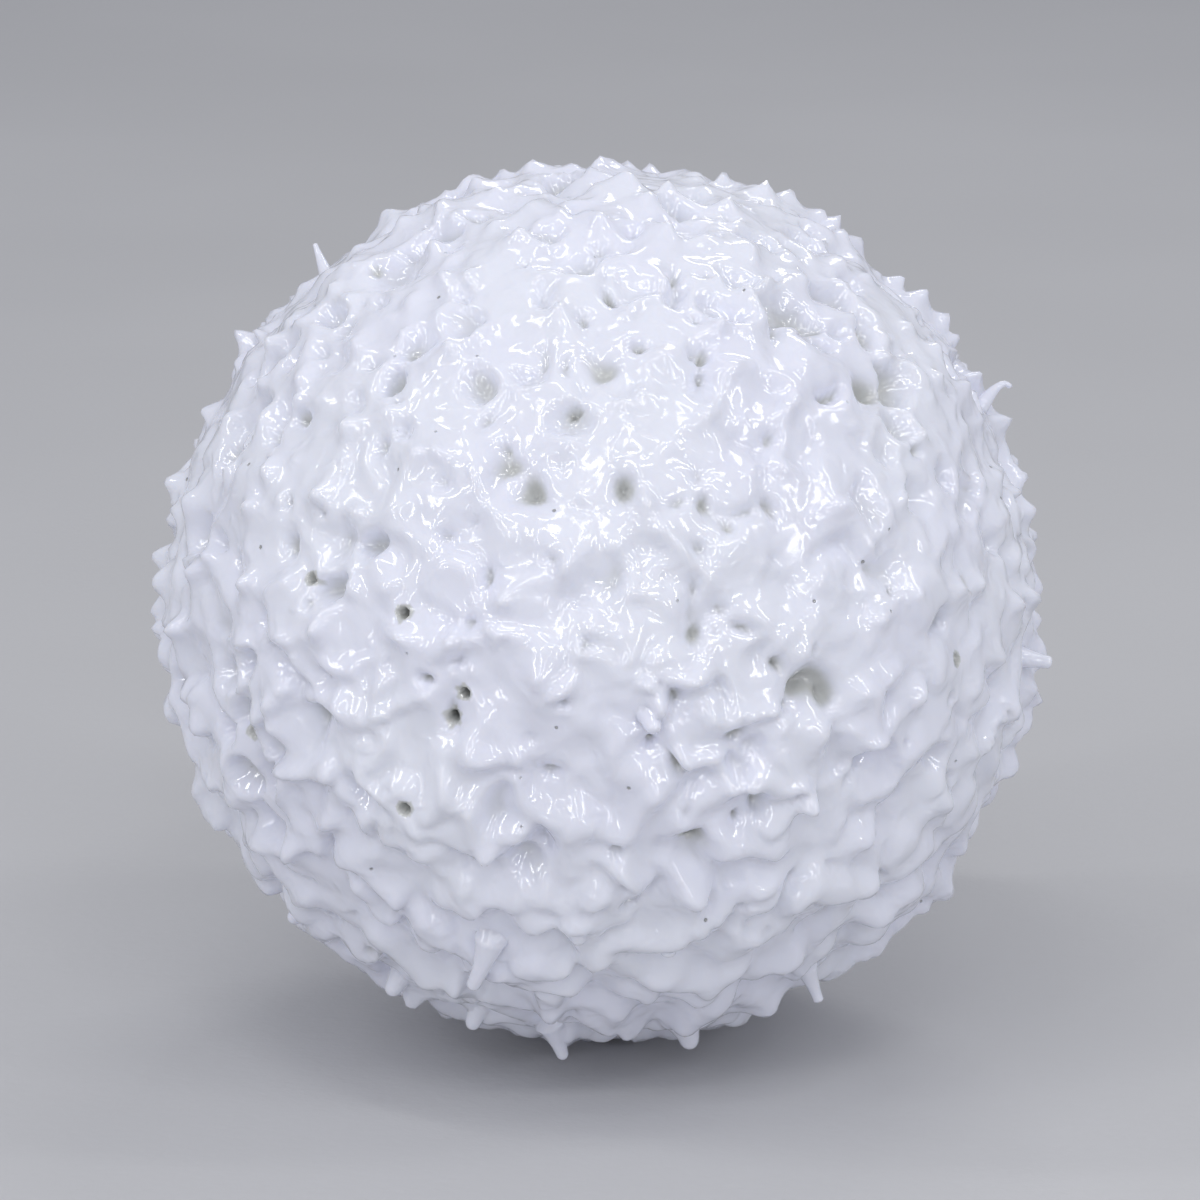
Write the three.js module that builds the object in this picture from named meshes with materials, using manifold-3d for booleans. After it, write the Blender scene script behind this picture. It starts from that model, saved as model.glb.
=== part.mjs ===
// Cue ball of 57.15 mm, in two pieces: a plain core ball, and a thick glossy skin cast around it.
// The skin's outside has set rough. Tips are pulled up out of it with webs hanging between them,
// hollows and bowls are sunk into it, and fingers and drips of resin stand or hang clear of it.
// A few pinholes run through the skin to the core.
//
// Millimetres, +Z up, origin at the ball's centre. The ball's face looks along -Y, tilted upwards.

import * as THREE from 'three';
import { mergeVertices } from 'three/addons/utils/BufferGeometryUtils.js';
import Module from 'manifold-3d';

// Driving dimensions

const BALL_RADIUS = 57.15 / 2;
const CORE_RADIUS = 23;
const FIT_GAP = 0.3; // between the core and the skin's inside
const FLOOR_DROP = 0.5; // how far the skin's floor between tips lies under the ball's radius

const PINHOLE_MOUTH_RADIUS = 0.5;
const PINHOLE_END_RADIUS = 0.3;
const PINHOLE_SIDES = 6;

const TIP_ROUNDING = [0.3, 0.95]; // radius of the nose that a tip ends in, over and under
const TIP_SPREAD = 0.7; // distance over which the skin falls away from a tip
const WEB_SPREAD = 0.75; // and from the line between two tips
const TIP_POWER = [1.0, 2.2]; // tips are sharp over and blunt under
const LEAN = 0.55; // sideways droop of the lower half's tips for each millimetre of height
const LEAN_TURN = 0.6; // radians that the drooping tips stray to either side
const LEAN_TURN_RATE = 0.5;
const LEAN_TOP = 0.35; // share of the radius above the centre where the droop starts
const LEAN_BOTTOM = -0.55; // and below it where it is full

const SKIN_SEGMENTS = 20; // along each edge of the icosahedron that the sphere is divided from
const PLAIN_SEGMENTS = 8;
const TIP_REACH = 0.7; // how far a corner of the skin's mesh may move to meet a tip

// Where things are on the face. The face is seen from EYE ball radii away, FACE_TILT above level.
// Across and up run from -1 to 1 over the visible disc, and out runs towards the eye.
// Heights are above the skin's floor.

const EYE = 15;
const FACE_RADIUS = 29.3; // of the disc's outline, through most of the tips
const RIM_TIP_SHARE = 0.95; // of the height that a tip on the outline would need to reach it
const FACE_TILT = THREE.MathUtils.degToRad(15);

// [across, up] of the tips that stand out around the face's rim
const RIM_TIPS = [
  [0.99, 0.06], [1.01, 0.12], [0.98, 0.2], [0.96, 0.29], [0.93, 0.42], [0.87, 0.49],
  [0.82, 0.6], [0.78, 0.65], [0.75, 0.69], [0.7, 0.74], [0.58, 0.82], [0.54, 0.86],
  [0.49, 0.89], [0.43, 0.91], [0.37, 0.94], [0.27, 0.99], [0.2, 0.99], [0.13, 0.98],
  [0.05, 0.99], [-0.06, 1.0], [-0.15, 0.99], [-0.22, 0.98], [-0.29, 0.97], [-0.48, 0.9],
  [-0.68, 0.72], [-0.78, 0.65], [-0.84, 0.59], [-0.88, 0.51], [-0.91, 0.42], [-0.97, 0.27],
  [-0.98, 0.2], [-1.0, 0.1], [-1.01, 0.0], [-1.01, -0.05], [-0.99, -0.12], [-0.98, -0.24],
  [-0.94, -0.33], [-0.91, -0.44], [-0.87, -0.49], [-0.84, -0.54], [-0.78, -0.63],
  [-0.67, -0.74], [-0.55, -0.85], [-0.36, -0.95], [-0.18, -0.98], [0.24, -0.98],
  [0.31, -0.96], [0.55, -0.84], [0.61, -0.8], [0.65, -0.78], [0.68, -0.74], [0.75, -0.69],
  [0.79, -0.66], [0.81, -0.57], [0.86, -0.51], [0.89, -0.44], [0.95, -0.36], [0.97, -0.26],
  [1.0, -0.2], [1.01, -0.1], [1.0, -0.03],
];

// [across, up, height] of single tips on the face
const FACE_TIPS = [
  [-0.3, -0.8, 1.2], [-0.02, -0.66, 1.7], [0.2, -0.67, 1.6], [0.34, -0.75, 1.6],
  [-0.05, -0.72, 1.5], [0.22, -0.37, 1.9], [0.12, -0.25, 1.7], [0.46, -0.45, 2.1],
  [-0.64, 0.24, 1.5], [-0.81, -0.25, 1.6],
];

// [across, up, across, up, height] of ridges: the brows that overhang the lower half's bowls
const FACE_RIDGES = [
  [-0.22, -0.1, -0.13, -0.15, 0.9], [-0.13, -0.15, -0.08, -0.2, 1.1], [-0.08, -0.04, 0.0, -0.06, 0.8],
  [0.0, -0.06, 0.05, -0.1, 0.9], [-0.52, -0.38, -0.47, -0.43, 1.2], [-0.47, -0.43, -0.4, -0.45, 1.2],
  [-0.55, -0.5, -0.5, -0.51, 1.2], [-0.5, -0.51, -0.38, -0.58, 1.3], [-0.38, -0.58, -0.33, -0.65, 1.3],
  [-0.17, -0.83, -0.1, -0.82, 1.4], [0.0, -0.8, 0.15, -0.77, 1.3], [0.15, -0.77, 0.2, -0.74, 1.3],
  [0.15, -0.86, 0.25, -0.87, 1.4], [0.25, -0.87, 0.28, -0.85, 1.4], [-0.62, -0.13, -0.5, -0.2, 1.0],
  [0.66, -0.17, 0.73, -0.22, 1.2], [0.5, -0.65, 0.6, -0.63, 1.5],
  [-0.68, -0.23, -0.6, -0.24, 1.5], [-0.73, -0.38, -0.63, -0.38, 1.4],
  [0.12, -0.2, 0.22, -0.17, 1.5], [0.28, -0.25, 0.36, -0.26, 1.5],
  [0.34, -0.42, 0.44, -0.42, 1.6], [-0.54, -0.33, -0.44, -0.54, 1.4],
  [-0.42, -0.57, -0.31, -0.69, 1.4], [0.25, -0.57, 0.32, -0.57, 1.3],
  [0.34, -0.56, 0.42, -0.56, 1.3], [-0.24, -0.08, -0.12, -0.12, 1.3],
];

// [across, up, depth, radius] of the bowls on the face
const FACE_BOWLS = [
  [-0.6, 0.64, 1.0, 0.7], [-0.45, 0.58, 1.2, 0.8], [-0.54, 0.55, 0.7, 0.6], [-0.69, 0.43, 1.3, 0.7],
  [-0.77, 0.37, 0.9, 0.6], [-0.62, 0.39, 0.8, 0.6], [-0.5, 0.35, 0.9, 0.6], [-0.22, 0.31, 1.5, 0.9],
  [-0.14, 0.255, 1.6, 0.8], [-0.17, 0.27, 0.9, 0.7], [0.06, 0.255, 1.6, 1.0],
  [-0.36, 0.17, 1.1, 0.6], [-0.73, 0.12, 1.1, 0.7],
  [-0.85, 0.05, 1.0, 0.7], [0.01, 0.55, 1.1, 0.9], [0.01, 0.73, 1.2, 0.7], [-0.04, 0.66, 0.8, 0.6],
  [-0.14, 0.57, 0.9, 0.6], [-0.07, 0.54, 0.8, 0.6], [-0.01, 0.83, 0.9, 0.7], [0.19, 0.76, 1.1, 0.7],
  [0.51, 0.72, 1.4, 0.8], [0.51, 0.66, 0.9, 0.6], [0.43, 0.62, 1.0, 0.8], [0.26, 0.56, 1.2, 0.8],
  [0.62, 0.62, 1.2, 0.9], [0.63, 0.5, 2.2, 1.0], [0.39, 0.39, 1.0, 0.7], [0.26, 0.22, 1.3, 0.8],
  [0.22, 0.29, 0.9, 0.7], [0.4, 0.21, 1.0, 0.7], [0.02, 0.05, 0.8, 1.1], [0.22, 0.14, 0.9, 0.7],
  [-0.28, 0.07, 0.9, 0.7], [-0.31, -0.06, 0.9, 0.7], [0.02, -0.41, 0.8, 0.6], [0.7, -0.46, 1.0, 0.8],
  [-0.23, -0.89, 0.9, 0.7], [0.46, -0.19, 1.3, 0.8], [0.52, -0.225, 1.6, 0.8], [0.22, -0.07, 1.4, 0.8],
  [0.2, -0.02, 0.9, 0.6], [0.3, -0.02, 1.0, 0.6], [0.92, -0.21, 1.2, 0.8], [-0.67, -0.28, 1.5, 0.9],
  [-0.67, -0.42, 1.1, 0.8], [0.17, -0.23, 1.1, 0.8], [0.32, -0.3, 1.1, 0.8], [0.38, -0.47, 1.1, 0.8],
  [0.49, -0.205, 1.5, 0.8], [-0.345, -0.285, 1.1, 0.8],
];

// A bowl is a wide shallow funnel with a narrow deep core: shares of its depth and radius, and power
const FUNNEL = [0.35, 1.7, 2.0];
const CORE = [0.9, 0.7, 1.8];
const BOWL_REACH = 2.5; // radii from its middle at which a bowl stops being felt

// [across, up, out, radius] along each finger of resin that stands or hangs clear of the skin
const FINGERS = [
  [[-0.6, 0.7, 0.15, 0.7], [-0.625, 0.76, 0.1, 0.32], [-0.64, 0.8, 0.08, 0.16]],
  [[0.85, 0.43, 0.12, 0.6], [0.895, 0.48, 0.1, 0.26], [0.92, 0.475, 0.1, 0.2]],
  [[0.93, -0.125, 0.15, 0.8], [0.98, -0.135, 0.15, 0.5], [1.01, -0.14, 0.15, 0.42]],
  [[-0.62, -0.66, 0.15, 0.9], [-0.66, -0.69, 0.13, 0.6], [-0.695, -0.72, 0.12, 0.5]],
  [[-0.235, -0.73, 0.6, 1.1], [-0.255, -0.79, 0.57, 0.62], [-0.28, -0.845, 0.53, 0.48]],
  [[-0.11, -0.94, 0.2, 1.1], [-0.095, -0.98, 0.18, 0.6], [-0.08, -1.025, 0.16, 0.38]],
  [[0.18, -0.93, 0.2, 1.2], [0.195, -0.965, 0.18, 0.8], [0.2, -1.0, 0.16, 0.55]],
  [[0.455, -0.81, 0.25, 0.8], [0.475, -0.86, 0.22, 0.42], [0.488, -0.895, 0.21, 0.36]],
  [[-0.44, -0.83, 0.2, 0.9], [-0.455, -0.855, 0.2, 0.65], [-0.47, -0.88, 0.2, 0.55]],
  [[-0.27, -0.91, 0.15, 0.9], [-0.28, -0.935, 0.15, 0.6], [-0.288, -0.96, 0.15, 0.5]],
  [[0.1, -0.23, 0.91, 1.0], [0.11, -0.26, 0.945, 0.6], [0.115, -0.28, 0.96, 0.42]],
  [[-0.04, -0.67, 0.67, 1.0], [-0.045, -0.71, 0.67, 0.65], [-0.045, -0.74, 0.655, 0.5]],
  [[0.13, -0.71, 0.62, 1.0], [0.145, -0.75, 0.615, 0.6], [0.15, -0.77, 0.61, 0.45]],
];
const FINGER_ROOT = 0.93; // a finger's root lies this share of the way out to its first stop
const FINGER_SIDES = 6;
const FINGER_RINGS = 3; // along its length, and TIP_RINGS more over its round end
const TIP_RINGS = 2;

// [across, up] of the pinholes on the face
const FACE_PINHOLES = [
  [-0.44, -0.47], [-0.32, -0.22], [-0.35, -0.28], [0.83, -0.14],
  [-0.67, 0.05], [-0.46, -0.03], [0.21, -0.55], [-0.82, -0.31],
];

// The rest of the relief is scattered evenly over the whole ball from a fixed seed.

const TIP_COUNT = 1350;
const TIP_JITTER = 1.5;
const TIP_HEIGHTS = [0.1, 1.4];
const TIP_RARITY = [1.6, 0.9]; // power that makes tall tips rarer than low ones, over and under
const TIP_CLEARANCE = 1.4;
const WEB_LINKS = 3; // how many neighbours each tip is joined to
const WEB_REACH = 6;
const WEB_CLEARANCE = 0.9; // between a web and the middle of a bowl on the face
const WEB_SAG = [0.5, 0.05]; // share of their height that a web sinks by between its tips
const BLEND = 0.15; // rounding where webs meet each other and the floor
const HOLLOW_COUNT = 900;
const HOLLOW_JITTER = 4;
const HOLLOW_STEEPNESS = [0.2, 0.75]; // depth as a share of the radius
const OVER_STEEPNESS = 0.4; // share that hollows are deeper by over the ball's shoulder
const PATCHINESS = 0.7; // share by which they are deeper in some patches of the ball than in others
const PATCH_RATE = 0.6;
const PATCH_SHARES = [0.3, 1.4]; // least and most of it
const HOLLOW_RADII = [0.8, 1.8];
const HOLLOW_BLEND = 0.14; // rounding of the rims where hollows meet
const HOLLOW_FADE = 5; // how many blends below its rim a hollow stops being felt
const HOLLOW_CLEARANCE = 1.3;
const HOLLOW_SHARE = 0.5; // of their depth that the skin's coarse mesh can hold
const SWELL = 0.2; // height of the slow waves that the whole skin rides on
const SWELL_RATE = 0.8;
const WAVE_COUNT = 16;
const SWIRL = 0.43;
const SWIRL_RATE = 1.5;
const BACK_PINHOLES = 12;
const PINHOLE_JITTER = 6;
const SEED = 57;

// Random numbers: the same ones for a seed each time
class Dice {
  constructor(seed) {
    this.state = seed;
  }

  roll(low, high) {
    this.state = (this.state * 48271) % 2147483647;
    return low + ((high - low) * this.state) / 2147483647;
  }

  vector() {
    const x = this.roll(-1, 1);
    const y = this.roll(-1, 1);
    return new THREE.Vector3(x, y, this.roll(-1, 1));
  }
}

// Directions from the ball's centre

const FACE_RIGHT = new THREE.Vector3(1, 0, 0);
const FACE_UP = new THREE.Vector3(0, Math.sin(FACE_TILT), Math.cos(FACE_TILT));
const FACE_OUT = new THREE.Vector3(0, -Math.cos(FACE_TILT), Math.sin(FACE_TILT));

function onFace(right, up, out) {
  return new THREE.Vector3()
    .addScaledVector(FACE_RIGHT, right)
    .addScaledVector(FACE_UP, up)
    .addScaledVector(FACE_OUT, out);
}

// Direction of a point on the rim of the visible disc
function rimDirection(across, up) {
  const rimOut = 1 / EYE;
  const rimAside = Math.sqrt(1 - rimOut * rimOut) / Math.hypot(across, up);
  return onFace(rimAside * across, rimAside * up, rimOut);
}

// Direction of the point seen at (across, up) on the disc: where the sight line meets the sphere
function faceDirection(across, up) {
  const aside = Math.hypot(across, up);
  const discRadius = EYE / Math.sqrt(EYE * EYE - 1);
  const slope = (aside * discRadius) / EYE;
  const reach = EYE * EYE * slope * slope;
  const depth = (EYE * slope * slope + Math.sqrt(1 + slope * slope - reach)) / (1 + slope * slope);
  const scale = discRadius * (1 - depth / EYE);
  return onFace(across * scale, up * scale, depth).normalize();
}

// Direction number index of count, evenly spread over the sphere on a golden-angle spiral
function spiralDirection(index, count) {
  const height = 1 - (2 * index + 1) / count;
  const turn = index * Math.PI * (3 - Math.sqrt(5));
  const aside = Math.sqrt(1 - height * height);
  return new THREE.Vector3(aside * Math.cos(turn), aside * Math.sin(turn), height);
}

function jittered(dice, direction, most) {
  return direction.clone().addScaledVector(dice.vector(), most / BALL_RADIUS).normalize();
}

// 0 over the ball's shoulder and 1 near its underside. Height is in ball radii from the centre.
function underness(height) {
  return THREE.MathUtils.clamp((LEAN_TOP - height) / (LEAN_TOP - LEAN_BOTTOM), 0, 1);
}

// Marks on the skin

// A tip where both ends are the same, or else the ridge that hangs between two tips
class Web {
  constructor(start, end, startHeight, endHeight, spread) {
    this.start = start.clone().multiplyScalar(BALL_RADIUS);
    this.end = end.clone().multiplyScalar(BALL_RADIUS);
    this.centre = this.start.clone().lerp(this.end, 0.5);
    this.startHeight = startHeight;
    this.endHeight = endHeight;
    this.spread = spread;
    this.reach = spread * 6 + this.start.distanceTo(this.end) / 2;
    const under = underness(this.centre.z / BALL_RADIUS);
    this.rounding = THREE.MathUtils.lerp(...TIP_ROUNDING, under);
    this.power = THREE.MathUtils.lerp(...TIP_POWER, under);
    this.sag = THREE.MathUtils.lerp(...WEB_SAG, under);
  }

  // How far the point is from the web, and how far along it
  place(point) {
    const along = this.end.clone().sub(this.start);
    const offset = point.clone().sub(this.start);
    const lengthSquared = along.lengthSq();
    const part = lengthSquared > 0 ? THREE.MathUtils.clamp(offset.dot(along) / lengthSquared, 0, 1) : 0;
    return { distance: offset.addScaledVector(along, -part).length(), part };
  }

  heightAt(point) {
    const { distance, part } = this.place(point);
    const level = THREE.MathUtils.lerp(this.startHeight, this.endHeight, part);
    const top = level * (1 - this.sag * 4 * part * (1 - part));
    const aside = (Math.hypot(distance, this.rounding) - this.rounding) / this.spread;
    return top * Math.exp(-(aside ** this.power));
  }
}

// A shallow dish with a rim
class Hollow {
  constructor(direction, radius, steepness) {
    this.centre = direction.clone().multiplyScalar(BALL_RADIUS);
    this.radius = radius;
    this.depth = radius * steepness;
    this.reach = radius * Math.sqrt(1 + (HOLLOW_FADE * HOLLOW_BLEND) / this.depth);
  }

  depthAt(point) {
    return this.depth * (1 - (this.centre.distanceTo(point) / this.radius) ** 2);
  }
}

// A round pit that fades out
class Bowl {
  constructor(direction, depth, radius, power) {
    this.centre = direction.clone().multiplyScalar(BALL_RADIUS);
    this.depth = depth;
    this.radius = radius;
    this.power = power;
    this.reach = radius * BOWL_REACH;
  }

  depthAt(point) {
    return this.depth * Math.exp(-((this.centre.distanceTo(point) / this.radius) ** this.power));
  }
}

function farFrom(centres, direction, clearance) {
  const point = direction.clone().multiplyScalar(BALL_RADIUS);
  return centres.every((centre) => centre.distanceTo(point) > clearance);
}

function placedTips() {
  const tips = RIM_TIPS.map(([across, up]) => {
    const height = Math.hypot(across, up) * FACE_RADIUS - BALL_RADIUS + FLOOR_DROP;
    return { direction: rimDirection(across, up), height: height * RIM_TIP_SHARE };
  });
  for (const [across, up, height] of FACE_TIPS) {
    tips.push({ direction: faceDirection(across, up), height });
  }
  return tips;
}

function placedRidges() {
  return FACE_RIDGES.map(([across, up, across2, up2, height]) => {
    const start = faceDirection(across, up);
    return new Web(start, faceDirection(across2, up2), height, height, WEB_SPREAD);
  });
}

function placedBowls() {
  const bowls = [];
  for (const [across, up, depth, radius] of FACE_BOWLS) {
    for (const [depthShare, radiusShare, power] of [FUNNEL, CORE]) {
      bowls.push(new Bowl(faceDirection(across, up), depth * depthShare, radius * radiusShare, power));
    }
  }
  return bowls;
}

function scatteredTips(taken) {
  const dice = new Dice(SEED);
  const tips = [];
  for (let index = 0; index < TIP_COUNT; index += 1) {
    const direction = jittered(dice, spiralDirection(index, TIP_COUNT), TIP_JITTER);
    const rarity = THREE.MathUtils.lerp(...TIP_RARITY, underness(direction.z));
    const height = THREE.MathUtils.lerp(...TIP_HEIGHTS, dice.roll(0, 1) ** rarity);
    if (farFrom(taken, direction, TIP_CLEARANCE)) {
      tips.push({ direction, height });
    }
  }
  return tips;
}

function scatteredHollows(taken) {
  const dice = new Dice(SEED + 1);
  const hollows = [];
  for (let index = 0; index < HOLLOW_COUNT; index += 1) {
    const direction = jittered(dice, spiralDirection(index, HOLLOW_COUNT), HOLLOW_JITTER);
    const radius = dice.roll(...HOLLOW_RADII);
    const deeper = 1 + OVER_STEEPNESS * (1 - underness(direction.z));
    const place = direction.clone().multiplyScalar(BALL_RADIUS);
    const patch = 1 + PATCHINESS * waved(place, PATCH_RATE, SEED + 13);
    const share = THREE.MathUtils.clamp(patch, ...PATCH_SHARES);
    const steepness = dice.roll(...HOLLOW_STEEPNESS) * deeper * share;
    if (farFrom(taken, direction, HOLLOW_CLEARANCE)) {
      hollows.push(new Hollow(direction, radius, steepness));
    }
  }
  return hollows;
}

// Numbers of the tips nearest to one of them
function neighbours(tips, index) {
  const distances = tips.map((tip) => tip.direction.distanceTo(tips[index].direction) * BALL_RADIUS);
  return [...tips.keys()]
    .filter((other) => other !== index && distances[other] < WEB_REACH)
    .sort((first, second) => distances[first] - distances[second])
    .slice(0, WEB_LINKS);
}

// Each tip on its own, and a web from it to its nearest neighbours where none of the bowls lies
function websBetween(tips, keptOpen) {
  const webs = tips.map(({ direction, height }) => (
    new Web(direction, direction, height, height, TIP_SPREAD)
  ));
  const joined = new Set();
  tips.forEach((tip, index) => {
    for (const other of neighbours(tips, index)) {
      const pair = `${Math.min(index, other)} ${Math.max(index, other)}`;
      if (!joined.has(pair)) {
        joined.add(pair);
        const { direction, height } = tips[other];
        const web = new Web(tip.direction, direction, tip.height, height, WEB_SPREAD);
        if (keptOpen.every((centre) => web.place(centre).distance > WEB_CLEARANCE)) {
          webs.push(web);
        }
      }
    }
  });
  return webs;
}

// Smooth noise from -1 to 1 or so, with about `rate` radians of wave to the millimetre
function waved(point, rate, seed) {
  const dice = new Dice(seed);
  let total = 0;
  for (let index = 0; index < WAVE_COUNT; index += 1) {
    const along = dice.vector();
    total += Math.sin(point.dot(along) * rate + dice.roll(0, 2 * Math.PI));
  }
  return total / Math.sqrt(WAVE_COUNT);
}

// Slow waves shift the marks sideways, so that none of them stays quite round.
function swirl(point) {
  const [x, y, z] = [4, 5, 6].map((step) => SWIRL * waved(point, SWIRL_RATE, SEED + step));
  return new THREE.Vector3(x, y, z);
}

// Height of the skin over its floor at a point on the ball
function relief(point, webs, hollows, bowls) {
  const near = (mark) => mark.centre.distanceTo(point) < mark.reach;
  let raised = 1;
  for (const web of webs.filter(near)) {
    raised += Math.exp(web.heightAt(point) / BLEND) - 1;
  }
  let dished = 1;
  for (const hollow of hollows.filter(near)) {
    dished += Math.exp(hollow.depthAt(point) / HOLLOW_BLEND);
  }
  let sunk = HOLLOW_SHARE * HOLLOW_BLEND * Math.log(dished);
  for (const bowl of bowls.filter(near)) {
    sunk += bowl.depthAt(point);
  }
  return BLEND * Math.log(raised) + SWELL * waved(point, SWELL_RATE, SEED + 12) - sunk;
}

// Below the ball's shoulder the tips droop towards its underside.
function leaned(direction, height) {
  const turn = LEAN_TURN * waved(direction.clone().multiplyScalar(BALL_RADIUS), LEAN_TURN_RATE, SEED + 7);
  const down = new THREE.Vector3(0, 0, -1).addScaledVector(direction, direction.z);
  down.applyAxisAngle(direction, turn);
  const radius = BALL_RADIUS - FLOOR_DROP + height;
  const droop = LEAN * underness(direction.z) * Math.max(0, height);
  return direction.clone().multiplyScalar(radius).addScaledVector(down, droop);
}

// Solids

const wasm = await Module();
wasm.setup();

function closedSphere(radius, segments) {
  const sphere = new THREE.IcosahedronGeometry(radius, segments - 1);
  sphere.deleteAttribute('normal');
  sphere.deleteAttribute('uv');
  return mergeVertices(sphere, 1e-4);
}

function solidOf(geometry) {
  const plain = geometry.clone();
  plain.deleteAttribute('normal');
  plain.deleteAttribute('uv');
  const merged = mergeVertices(plain, 1e-4);
  return new wasm.Manifold(new wasm.Mesh({
    numProp: 3,
    vertProperties: new Float32Array(merged.attributes.position.array),
    triVerts: new Uint32Array(merged.index.array),
  }));
}

function geometryOf(solid) {
  const mesh = solid.getMesh();
  const geometry = new THREE.BufferGeometry();
  geometry.setAttribute('position', new THREE.BufferAttribute(mesh.vertProperties, 3));
  geometry.setIndex(new THREE.BufferAttribute(mesh.triVerts, 1));
  geometry.computeVertexNormals();
  return geometry;
}

// Each tip takes over the nearest free corner of the mesh, so that none falls between corners.
function gatherUnderTips(positions, tips) {
  const corner = new THREE.Vector3();
  const taken = new Set();
  for (const { direction } of tips) {
    const place = direction.clone().multiplyScalar(BALL_RADIUS);
    const tip = place.sub(swirl(place)).normalize();
    let nearest = -1;
    let best = TIP_REACH / BALL_RADIUS;
    for (let index = 0; index < positions.count; index += 1) {
      const distance = corner.fromBufferAttribute(positions, index).distanceTo(tip);
      if (distance < best && !taken.has(index)) {
        best = distance;
        nearest = index;
      }
    }
    if (nearest >= 0) {
      taken.add(nearest);
      positions.setXYZ(nearest, tip.x, tip.y, tip.z);
    }
  }
}

function reliefSphere() {
  const bowls = placedBowls();
  const taken = bowls.map((bowl) => bowl.centre);
  const tips = placedTips();
  const tipPlaces = tips.map((tip) => tip.direction.clone().multiplyScalar(BALL_RADIUS));
  tips.push(...scatteredTips([...taken, ...tipPlaces]));
  const hollows = scatteredHollows(taken);
  const webs = [...websBetween(tips, taken), ...placedRidges()];
  const sphere = closedSphere(1, SKIN_SEGMENTS);
  const positions = sphere.attributes.position;
  gatherUnderTips(positions, tips);
  const direction = new THREE.Vector3();
  for (let index = 0; index < positions.count; index += 1) {
    direction.fromBufferAttribute(positions, index).normalize();
    const place = direction.clone().multiplyScalar(BALL_RADIUS);
    const point = leaned(direction, relief(place.add(swirl(place)), webs, hollows, bowls));
    positions.setXYZ(index, point.x, point.y, point.z);
  }
  return sphere;
}

// A share of the way along a smooth bend through three numbers
function bent([first, middle, last], part) {
  const control = 2 * middle - (first + last) / 2;
  return first * (1 - part) ** 2 + control * 2 * part * (1 - part) + last * part ** 2;
}

// A bent, tapered rod with a round end
function finger(stops) {
  const places = stops.map(([across, up, out]) => onFace(across, up, out).multiplyScalar(FACE_RADIUS));
  const radii = stops.map((stop) => stop[3]);
  const along = places[2].clone().sub(places[0]);
  const tip = 1 - radii[2] / along.length();
  const rings = [];
  for (let ring = 0; ring < FINGER_RINGS; ring += 1) {
    rings.push([(tip * ring) / FINGER_RINGS, 1]);
  }
  for (let ring = 0; ring < TIP_RINGS; ring += 1) {
    const angle = ((Math.PI / 2) * ring) / TIP_RINGS;
    rings.push([tip + (1 - tip) * Math.sin(angle), Math.cos(angle)]);
  }
  const side = new THREE.Vector3().crossVectors(along, FACE_OUT).normalize();
  const other = new THREE.Vector3().crossVectors(along, side).normalize();
  const points = [places[0].clone().multiplyScalar(FINGER_ROOT)];
  for (const [part, rounding] of rings) {
    const [x, y, z] = ['x', 'y', 'z'].map((axis) => bent(places.map((place) => place[axis]), part));
    const radius = bent(radii, part) * rounding;
    for (let corner = 0; corner < FINGER_SIDES; corner += 1) {
      const angle = (2 * Math.PI * corner) / FINGER_SIDES;
      points.push(new THREE.Vector3(x, y, z)
        .addScaledVector(side, radius * Math.cos(angle))
        .addScaledVector(other, radius * Math.sin(angle)));
    }
  }
  points.push(places[2]);
  const triangles = [];
  for (let corner = 0; corner < FINGER_SIDES; corner += 1) {
    const after = (corner + 1) % FINGER_SIDES;
    triangles.push(0, 1 + after, 1 + corner);
    for (let ring = 1; ring < rings.length; ring += 1) {
      const row = 1 + (ring - 1) * FINGER_SIDES;
      const next = row + FINGER_SIDES;
      triangles.push(row + corner, row + after, next + after);
      triangles.push(row + corner, next + after, next + corner);
    }
    const last = 1 + (rings.length - 1) * FINGER_SIDES;
    triangles.push(last + corner, last + after, points.length - 1);
  }
  const geometry = new THREE.BufferGeometry().setFromPoints(points);
  geometry.setIndex(triangles);
  return geometry;
}

// A tapered drill along a direction, from just outside the core to well clear of the tips
function pinholeDrill(direction) {
  const start = CORE_RADIUS - FIT_GAP;
  const length = BALL_RADIUS * 1.2 - start;
  const growth = (PINHOLE_MOUTH_RADIUS - PINHOLE_END_RADIUS) / (BALL_RADIUS - CORE_RADIUS);
  const wide = PINHOLE_END_RADIUS + growth * length;
  const drill = new THREE.CylinderGeometry(wide, PINHOLE_END_RADIUS, length, PINHOLE_SIDES);
  drill.translate(0, start + length / 2, 0);
  drill.applyQuaternion(new THREE.Quaternion().setFromUnitVectors(new THREE.Vector3(0, 1, 0), direction));
  return drill;
}

function pinholeDirections() {
  const dice = new Dice(SEED + 3);
  const directions = FACE_PINHOLES.map(([across, up]) => faceDirection(across, up));
  for (let index = 0; index < BACK_PINHOLES; index += 1) {
    const direction = jittered(dice, spiralDirection(index, BACK_PINHOLES), PINHOLE_JITTER);
    if (direction.dot(FACE_OUT) < 0) {
      directions.push(direction);
    }
  }
  return directions;
}

function skinGeometry() {
  let skin = solidOf(reliefSphere());
  for (const stops of FINGERS) {
    skin = skin.add(solidOf(finger(stops)));
  }
  skin = skin.subtract(solidOf(closedSphere(CORE_RADIUS + FIT_GAP, PLAIN_SEGMENTS)));
  for (const direction of pinholeDirections()) {
    skin = skin.subtract(solidOf(pinholeDrill(direction)));
  }
  return geometryOf(skin);
}

// The ball

const coreMaterial = new THREE.MeshStandardMaterial({ color: 0x8e8f88, roughness: 0.6, metalness: 0 });
const skinMaterial = new THREE.MeshStandardMaterial({ color: 0xe8e9f4, roughness: 0.2, metalness: 0 });

const core = new THREE.Mesh(closedSphere(CORE_RADIUS, PLAIN_SEGMENTS), coreMaterial);
core.name = 'core_ball';

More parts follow.
